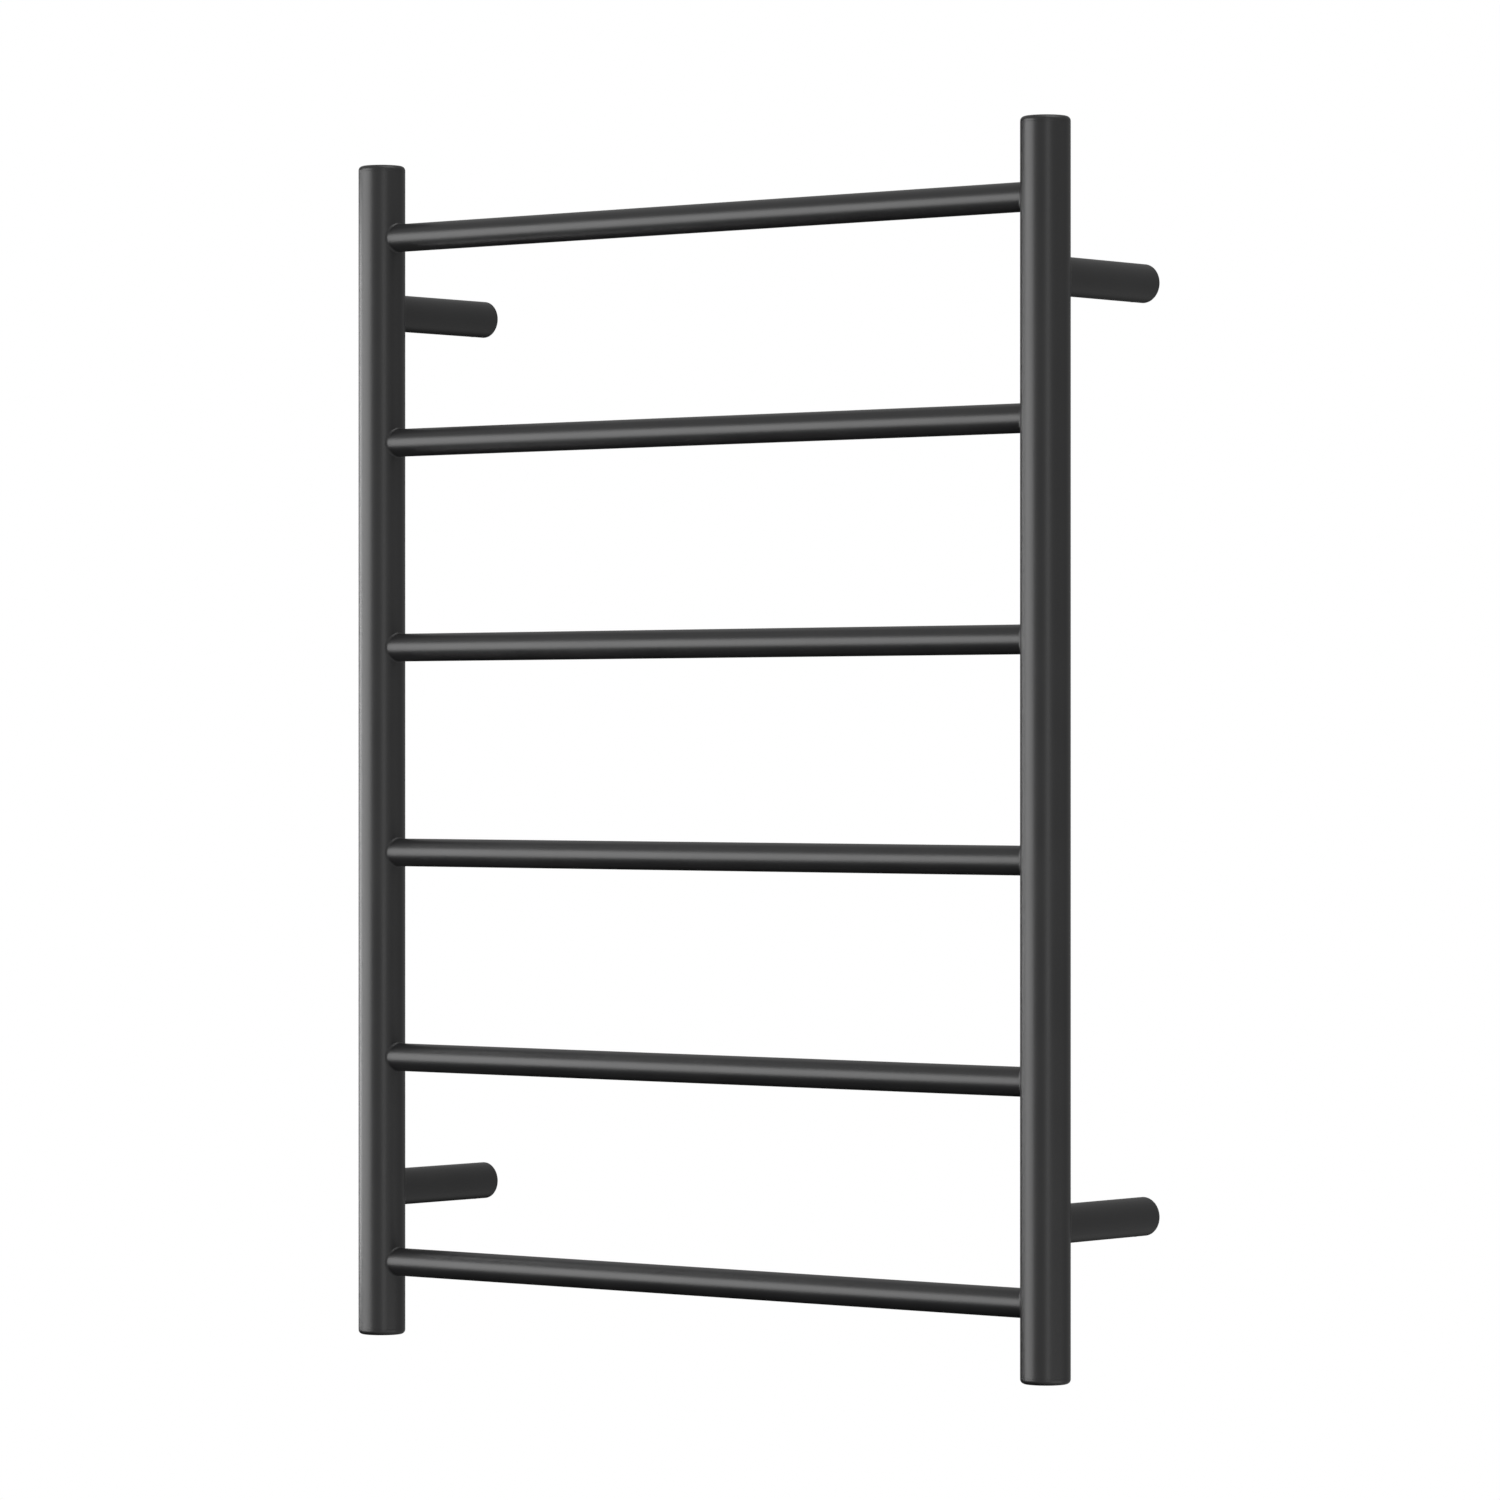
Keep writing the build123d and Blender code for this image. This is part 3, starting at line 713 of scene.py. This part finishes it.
def nut_piece():
    """A hexagon nut with its corners turned off and its hole countersunk at both faces."""
    size = extent("earth_nut")
    foot, _, length = upright("earth_nut")
    corner = max(size.x, size.y) / 2
    flats = corner * sqrt(3) / 2
    prism = sharp((0, 0), (corner, 0), (corner, length), (0, length))
    piece = revolve("ground_nut", prism, HEXAGON)
    if size.y > size.x:
        piece.data.transform(Matrix.Rotation(pi / HEXAGON, 4, "Z"))
    face = NUT_FACE * flats
    rim = 2 * corner
    fall = (rim - face) * tan(NUT_CHAMFER)
    lower_rim = sharp((face, -OVERSHOOT), (rim, -OVERSHOOT), (rim, fall), (face, 0))
    upper_rim = sharp(*[(point.x, length - point.y) for point in lower_rim])
    mouth = NUT_BORE_RADIUS + NUT_SINK + OVERSHOOT
    bore = sharp(
        (0, -OVERSHOOT), (mouth, -OVERSHOOT), (NUT_BORE_RADIUS, NUT_SINK),
        (NUT_BORE_RADIUS, length - NUT_SINK), (mouth, length + OVERSHOOT), (0, length + OVERSHOOT),
    )
    outlines = (lower_rim, upper_rim, bore)
    cut(piece, *[revolve("cutter", outline, FITTING_SEGMENTS) for outline in outlines])
    return shade(lay(piece, foot))


# ---- Materials ----
def set_range(node, start, end, low, high):
    """Makes a Map Range node map start..end to low..high."""
    node.inputs["From Min"].default_value = start
    node.inputs["From Max"].default_value = end
    node.inputs["To Min"].default_value = low
    node.inputs["To Max"].default_value = high


class Finish:
    """A Principled material and short ways to wire nodes into it."""

    def __init__(self, name, colour, roughness, metallic=0.0, **sockets):
        self.material = bpy.data.materials.new(name)
        self.material.use_nodes = True
        self.tree = self.material.node_tree
        self.shader = self.tree.nodes["Principled BSDF"]
        self.shader.inputs["Base Color"].default_value = (*colour, 1)
        self.shader.inputs["Roughness"].default_value = roughness
        self.shader.inputs["Metallic"].default_value = metallic
        for socket, value in sockets.items():
            self.shader.inputs[socket.replace("_", " ")].default_value = value
        self.place = self.add("ShaderNodeTexCoord").outputs["Object"]

    def add(self, kind, **settings):
        """A new node of that kind."""
        node = self.tree.nodes.new(kind)
        for key, value in settings.items():
            setattr(node, key, value)
        return node

    def link(self, output, target):
        """Wires a node's output into another node's input."""
        self.tree.links.new(output, target)

    def noise(self, size, detail=2.0, stretch=(1, 1, 1)):
        """Noise whose features are about that size, in metres."""
        mapping = self.add("ShaderNodeMapping")
        mapping.inputs["Scale"].default_value = stretch
        self.link(self.place, mapping.inputs["Vector"])
        texture = self.add("ShaderNodeTexNoise")
        texture.inputs["Scale"].default_value = 1 / size
        texture.inputs["Detail"].default_value = detail
        self.link(mapping.outputs["Vector"], texture.inputs["Vector"])
        return texture.outputs["Fac"]

    def vector_math(self, operation, value, constant=None):
        """The outputs of an operation on a vector and, where it takes two, a constant vector."""
        node = self.add("ShaderNodeVectorMath", operation=operation)
        self.link(value, node.inputs[0])
        if constant:
            node.inputs[1].default_value = constant
        return node.outputs

    def spread(self, value, low, high, start=NOISE_LOW, end=NOISE_HIGH):
        """Maps a texture's value from start..end to low..high."""
        node = self.add("ShaderNodeMapRange")
        set_range(node, start, end, low, high)
        self.link(value, node.inputs["Value"])
        return node.outputs["Result"]

    def vary_colour(self, value, first, second):
        """Drives the colour from one to another with a value from 0 to 1."""
        node = self.add("ShaderNodeMix", data_type="RGBA")
        node.inputs[MIX_FIRST].default_value = (*first, 1)
        node.inputs[MIX_SECOND].default_value = (*second, 1)
        self.link(value, node.inputs[MIX_FACTOR])
        self.link(node.outputs[MIX_RESULT], self.shader.inputs["Base Color"])

    def vary_roughness(self, value, low, high):
        """Drives the roughness with a noise."""
        self.link(self.spread(value, low, high), self.shader.inputs["Roughness"])

    def bumps(self, *layers):
        """Stacks bumps of (value, height in metres)."""
        before = None
        for value, height in layers:
            node = self.add("ShaderNodeBump")
            node.inputs["Strength"].default_value = 1
            node.inputs["Distance"].default_value = height
            self.link(value, node.inputs["Height"])
            if before:
                self.link(before, node.inputs["Normal"])
            before = node.outputs["Normal"]
        self.link(before, self.shader.inputs["Normal"])


def black_coat():
    """Satin powder coat: a soft orange peel, a fine grain and faint patches of gloss."""
    coat = Finish("black powder coat", (0.022, 0.022, 0.023), 0.4)
    patches = coat.noise(60 * MM, detail=3)
    peel = coat.noise(1.6 * MM, detail=1)
    grain = coat.noise(0.25 * MM)
    coat.vary_colour(coat.spread(patches, 0, 1), (0.0115, 0.0115, 0.012), (0.0145, 0.0145, 0.015))
    coat.vary_roughness(patches, 0.35, 0.39)
    coat.bumps((peel, 0.012 * MM), (grain, 0.006 * MM))
    return coat.material


def turned_aluminium():
    """Aluminium with a lathe tool's fine rings about each boss's own axis."""
    metal = Finish("turned aluminium", (0.72, 0.72, 0.73), 0.32, metallic=1.0)
    arm = middle("arm_top_right")
    mirrored = metal.vector_math("ABSOLUTE", metal.place)["Vector"]
    from_axis = metal.vector_math("SUBTRACT", mirrored, (arm.x, 0, arm.z))["Vector"]
    in_face = metal.vector_math("MULTIPLY", from_axis, (1, 0, 1))["Vector"]
    radius = metal.vector_math("LENGTH", in_face)["Value"]
    rings = metal.add("ShaderNodeTexNoise", noise_dimensions="1D")
    rings.inputs["Scale"].default_value = 1 / RING_SIZE
    metal.link(radius, rings.inputs["W"])
    cloud = metal.noise(4 * MM, detail=3)
    marks = metal.noise(0.3 * MM, stretch=(0.1, 1, 0.1))
    metal.vary_colour(metal.spread(cloud, 0, 1), (0.66, 0.66, 0.67), (0.76, 0.76, 0.77))
    metal.vary_roughness(cloud, 0.28, 0.38)
    metal.bumps((marks, 0.004 * MM), (rings.outputs["Fac"], 0.008 * MM))
    return metal.material


def cloudy(finish, colour, roughness, size, detail, darkest, glossier, duller):
    """Clouds of that size, in which the colour darkens to a share and the roughness varies."""
    cloud = finish.noise(size, detail)
    darker = tuple(darkest * channel for channel in colour)
    finish.vary_colour(finish.spread(cloud, 0, 1), darker, colour)
    finish.vary_roughness(cloud, roughness - glossier, roughness + duller)


def metal_skin(name, colour, roughness):
    """Bare, plated or blackened metal, a little cloudy and finely scratched."""
    metal = Finish(name, colour, roughness, metallic=1.0)
    cloudy(metal, colour, roughness, 2 * MM, detail=3, darkest=0.8, glossier=0.07, duller=0.09)
    scratches = metal.noise(0.15 * MM, stretch=(1, 1, 6))
    metal.bumps((scratches, 0.002 * MM))
    return metal.material


def soft_sheath(name, colour, roughness=0.5):
    """Silicone or rubber: matt, slightly uneven, with a faint drawn grain."""
    sheath = Finish(name, colour, roughness)
    cloudy(sheath, colour, roughness, 3 * MM, detail=2, darkest=0.85, glossier=0.06, duller=0.08)
    sheath.bumps((sheath.noise(DRAWN_GRAIN), DRAWN_GRAIN_HEIGHT))
    return sheath.material


def striped_sheath(node):
    """Green insulation with a yellow stripe along one side of the lead."""
    sheath = Finish("green and yellow insulation", (0.05, 0.25, 0.03), 0.48)
    split = sheath.add("ShaderNodeSeparateXYZ")
    sheath.link(sheath.place, split.inputs["Vector"])
    x = middle(node).x
    stripe = sheath.spread(split.outputs["X"], 0, 1, x + STRIPE_START, x + STRIPE_FULL)
    sheath.vary_colour(stripe, (0.03, 0.2, 0.03), (0.75, 0.6, 0.03))
    sheath.bumps((sheath.noise(DRAWN_GRAIN), DRAWN_GRAIN_HEIGHT))
    return sheath.material


def moulded_plastic(name, colour, roughness=0.45):
    """Hard plastic with a fine moulded grain."""
    plastic = Finish(name, colour, roughness)
    cloudy(plastic, colour, roughness, 5 * MM, detail=2, darkest=0.93, glossier=0.05, duller=0.06)
    plastic.bumps((plastic.noise(0.12 * MM), 0.004 * MM))
    return plastic.material


def finish_node(node, material):
    """Gives a CAD node that stays its material."""
    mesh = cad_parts[node].data
    mesh.materials.clear()
    mesh.materials.append(material)


# ---- The object ----
def build_rack():
    """The welded ladder and its caps and arms, all in one coat."""
    coat = black_coat()
    for side_name in SIDES:
        dress(post_piece(side_name), coat, "rack", "black_coat", f"post_{side_name}")
        for bar in BAR_NAMES:
            node = f"{bar}_weld_{side_name}"
            dress(bar_weld_piece(bar, side_name), coat, "rack", "black_coat", node)
    for bar in BAR_NAMES:
        dress(bar_piece(bar), coat, "rack", "black_coat", bar)
    for end_name, side_name in CORNERS:
        corner = f"{end_name}_{side_name}"
        dress(cap_piece(end_name, side_name), coat, "rack", "black_coat", f"end_cap_{corner}")
        dress(arm_piece(end_name, side_name), coat, "rack", "black_coat", f"arm_{corner}")
        weld = arm_weld_piece(end_name, side_name)
        dress(weld, coat, "rack", "black_coat", f"arm_weld_{corner}")


def build_fixings():
    """What stays on the wall, and the screws that lock the rack to it."""
    aluminium = turned_aluminium()
    black_steel = metal_skin("black oxide steel", (0.09, 0.09, 0.095), 0.38)
    for end_name, side_name in CORNERS:
        corner = f"{end_name}_{side_name}"
        boss, grub = boss_piece(end_name, side_name), grub_piece(end_name, side_name)
        dress(boss, aluminium, "wall_fixings", "boss_aluminium", f"wall_boss_{corner}")
        dress(grub, black_steel, f"grub_screw_{corner}", "grub_screw_steel", f"grub_screw_{corner}")
    rubber = soft_sheath("black rubber", (0.03, 0.03, 0.03), 0.6)
    dress(grommet_piece(), rubber, "wall_fixings", "grommet_rubber", "supply_grommet")


def build_wiring():
    """The terminal block, the joints and the cut-out. The cable and leads keep their CAD shapes."""
    plastic = moulded_plastic("terminal plastic", (0.75, 0.74, 0.7))
    brass = metal_skin("brass", (0.72, 0.54, 0.25), 0.3)
    zinc = metal_skin("zinc plate", (0.55, 0.55, 0.56), 0.35)
    shrink = moulded_plastic("shrink sleeve", (0.045, 0.045, 0.045), 0.4)
    tin = metal_skin("tin plate", (0.6, 0.6, 0.6), 0.3)
    dress(block_piece(), plastic, "rack", "terminal_plastic", "terminal_block")
    dress(clamps_piece(), brass, "rack", "terminal_brass", "terminal_clamps")
    dress(clamp_screws_piece(), zinc, "rack", "fastener_steel", "terminal_screws")
    for lead in ("live", "neutral"):
        node = f"{lead}_cold_joint"
        dress(sleeve_piece(node, f"{lead}_shrink_sleeve"), shrink, "rack", "joint_sleeve", node)
    dress(limiter_piece(), tin, "rack", "limiter_steel", "thermal_limiter")
    finish_node("heating_cable", soft_sheath("white silicone", (0.68, 0.66, 0.62)))
    finish_node("live_lead", soft_sheath("brown insulation", (0.16, 0.07, 0.035)))
    finish_node("neutral_lead", soft_sheath("blue insulation", (0.03, 0.12, 0.42)))
    finish_node("earth_lead", striped_sheath("earth_lead"))


def build_earth_connection():
    """The stud and nut. The ring tag and the toothed washer keep their CAD shapes."""
    zinc = metal_skin("zinc fastener", (0.55, 0.55, 0.56), 0.35)
    dress(stud_piece(), zinc, "rack", "fastener_steel", "earth_stud")
    dress(nut_piece(), zinc, "rack", "fastener_steel", "earth_nut")
    finish_node("earth_washer", zinc)
    finish_node("earth_tag", metal_skin("tinned brass", (0.66, 0.66, 0.66), 0.28))


# ---- Camera, floor and light ----
def from_centre(azimuth, elevation, distance):
    """A point that far from the middle of the posts' plane. Azimuth 0 is straight in front."""
    level = distance * cos(elevation)
    return Vector((level * sin(azimuth), POST_Y - level * cos(azimuth), distance * sin(elevation)))


def add_camera():
    """The photo's view: level, from the right of the middle."""
    data = bpy.data.cameras.new("camera")
    data.lens = CAMERA_LENS
    data.sensor_width = CAMERA_SENSOR
    camera = new_object("camera", data)
    right = Vector((cos(CAMERA_AZIMUTH), sin(CAMERA_AZIMUTH), 0))
    camera.location = from_centre(CAMERA_AZIMUTH, 0, CAMERA_DISTANCE) + right * CAMERA_ASIDE
    camera.rotation_euler = (pi / 2, 0, CAMERA_AZIMUTH)
    bpy.context.scene.camera = camera


def add_softbox(name, azimuth, elevation, distance, half_width, half_height, radiance):
    """A rectangular light that faces the middle of the rack."""
    data = bpy.data.lights.new(name, "AREA")
    data.shape = "RECTANGLE"
    data.size = 2 * distance * tan(radians(half_width))
    data.size_y = 2 * distance * tan(radians(half_height))
    data.energy = radiance * pi * data.size * data.size_y
    light = new_object(name, data)
    light.location = from_centre(radians(azimuth), radians(elevation), distance)
    aim = Vector((0, POST_Y, 0)) - light.location
    light.rotation_euler = aim.to_track_quat("-Z", "Y").to_euler()
    light.visible_camera = False


def add_world():
    """A white surround to the camera, and to the object a dim one with two darker stretches."""
    world = bpy.data.worlds.new("studio")
    world.use_nodes = True
    tree = world.node_tree
    tree.nodes.clear()
    seen = tree.nodes.new("ShaderNodeBackground")
    lit = tree.nodes.new("ShaderNodeBackground")
    for background in (seen, lit):
        background.inputs["Color"].default_value = (1, 1, 1, 1)
    direction = tree.nodes.new("ShaderNodeTexCoord").outputs["Generated"]
    level = None
    for towards, start, end, left_over in DARK_STRETCHES:
        nearness = tree.nodes.new("ShaderNodeVectorMath")
        nearness.operation = "DOT_PRODUCT"
        nearness.inputs[1].default_value = Vector(towards).normalized()
        fade = tree.nodes.new("ShaderNodeMapRange")
        fade.interpolation_type = "SMOOTHSTEP"
        set_range(fade, start, end, 1, left_over)
        product = tree.nodes.new("ShaderNodeMath")
        product.operation = "MULTIPLY"
        product.inputs[1].default_value = SURROUND
        tree.links.new(direction, nearness.inputs[0])
        tree.links.new(nearness.outputs["Value"], fade.inputs["Value"])
        tree.links.new(fade.outputs["Result"], product.inputs[0])
        if level:
            tree.links.new(level, product.inputs[1])
        level = product.outputs["Value"]
    rays = tree.nodes.new("ShaderNodeLightPath")
    mix = tree.nodes.new("ShaderNodeMixShader")
    output = tree.nodes.new("ShaderNodeOutputWorld")
    tree.links.new(level, lit.inputs["Strength"])
    tree.links.new(rays.outputs["Is Camera Ray"], mix.inputs["Fac"])
    tree.links.new(lit.outputs["Background"], mix.inputs[1])
    tree.links.new(seen.outputs["Background"], mix.inputs[2])
    tree.links.new(mix.outputs["Shader"], output.inputs["Surface"])
    bpy.context.scene.world = world


def add_floor():
    """A pale disc below the rack, which throws no light back on it."""
    below = -FLOOR_THICKNESS
    outline = sharp((0, below), (FLOOR_RADIUS, below), (FLOOR_RADIUS, 0), (0, 0))
    floor = lay(revolve("floor", outline, FITTING_SEGMENTS), (0, POST_Y, FLOOR_LEVEL))
    pale = Finish("pale floor", (0.86, 0.86, 0.86), 0.9, Emission_Color=(1, 1, 1, 1),
                  Emission_Strength=FLOOR_GLOW)
    pale.vary_colour(pale.spread(pale.noise(0.3, 3), 0, 1), (0.85, 0.85, 0.85), (0.88, 0.88, 0.88))
    floor.data.materials.append(pale.material)
    floor.visible_diffuse = False
    floor.visible_glossy = False


add_camera()
build_rack()
build_fixings()
build_wiring()
build_earth_connection()
add_floor()
for settings in SOFTBOXES:
    add_softbox(*settings)
add_world()
bpy.context.scene.view_settings.view_transform = "Standard"
